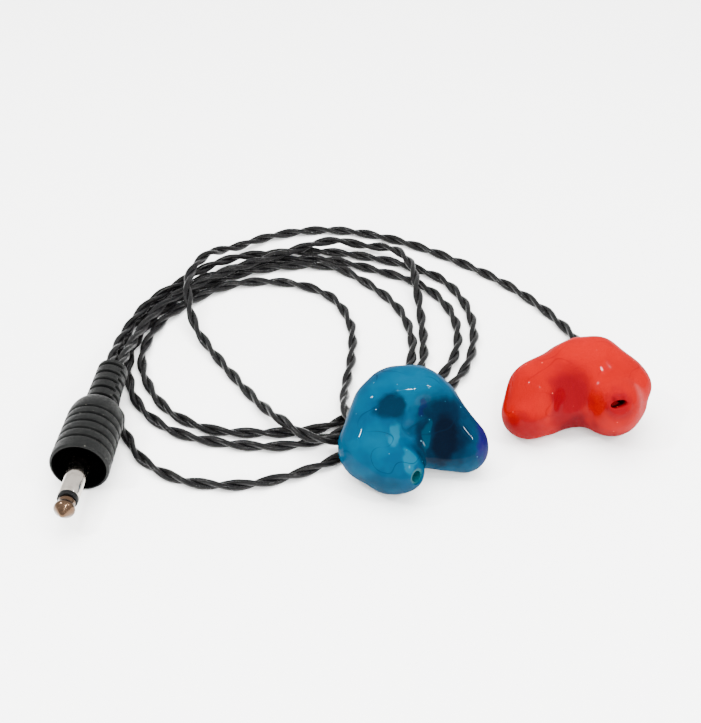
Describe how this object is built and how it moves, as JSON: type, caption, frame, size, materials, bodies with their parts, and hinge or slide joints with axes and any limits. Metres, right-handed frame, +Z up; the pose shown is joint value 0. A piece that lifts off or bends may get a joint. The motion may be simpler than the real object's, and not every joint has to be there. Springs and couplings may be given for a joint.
{
  "type": "in-ear monitors",
  "caption": "Custom-moulded in-ear monitors, one blue and one red earpiece, each hard-wired by a thin twisted cord to a shared straight moulded jack plug",
  "frame": {"origin": "On the surface that the set lies on, under the middle of the box round both earpieces. The cords and the plug lie to the left of it and behind it.", "axes": "+X goes to the right from the blue left earpiece to the red right one, +Y goes away from the side that the sound outlets face, +Z is up."},
  "size_m": [0.1028, 0.0952, 0.017],
  "materials": {
    "blue_acrylic": "polished, slightly translucent moulded acrylic",
    "blue_lid": "polished acrylic lid",
    "red_acrylic": "polished, slightly translucent moulded acrylic",
    "red_lid": "polished acrylic lid",
    "clear_tube": "clear vinyl tube",
    "damper_mesh": "fine white mesh in a thin cup",
    "receiver_steel": "thin drawn steel",
    "circuit_board": "green board",
    "copper": "enamelled copper winding",
    "magnet": "sintered magnets in a steel yoke",
    "diaphragm_foil": "thin foil",
    "lead_red": "thin insulated wire",
    "blue_grommet": "soft moulded",
    "red_grommet": "soft moulded",
    "cord_black": "two twisted strands with a satin skin",
    "tip_copper": "polished, warm copper tint",
    "insulator_black": "satin",
    "nickel": "polished nickel plate",
    "core_grey": "hard inner moulding",
    "solder": "shiny solder",
    "grip_rubber": "matte moulded, slightly dusty"
  },
  "bodies": {
    "root": {"left_shell": "blue_acrylic", "left_lid": "blue_lid", "left_sound_tube": "clear_tube", "left_damper": "damper_mesh", "left_receiver_case": "receiver_steel", "left_receiver_spout": "receiver_steel", "left_terminal_board": "circuit_board", "left_coil": "copper", "left_magnet_yoke": "magnet", "left_armature": "receiver_steel", "left_diaphragm": "diaphragm_foil", "left_ear_wires": "lead_red", "left_cord_grommet": "blue_grommet", "left_cord": "cord_black", "right_shell": "red_acrylic", "right_lid": "red_lid", "right_sound_tube": "clear_tube", "right_damper": "damper_mesh", "right_receiver_case": "receiver_steel", "right_receiver_spout": "receiver_steel", "right_terminal_board": "circuit_board", "right_coil": "copper", "right_magnet_yoke": "magnet", "right_armature": "receiver_steel", "right_diaphragm": "diaphragm_foil", "right_ear_wires": "lead_red", "right_cord_grommet": "red_grommet", "right_cord": "cord_black", "plug_tip": "tip_copper", "plug_insulator": "insulator_black", "plug_sleeve": "nickel", "plug_rear_bush": "insulator_black", "plug_tip_lug": "nickel", "plug_sleeve_lug": "nickel", "plug_core": "core_grey", "plug_wires": "lead_red", "plug_solder": "solder", "plug_grip": "grip_rubber", "plug_strain_relief": "grip_rubber"}
  },
  "joints": []
}
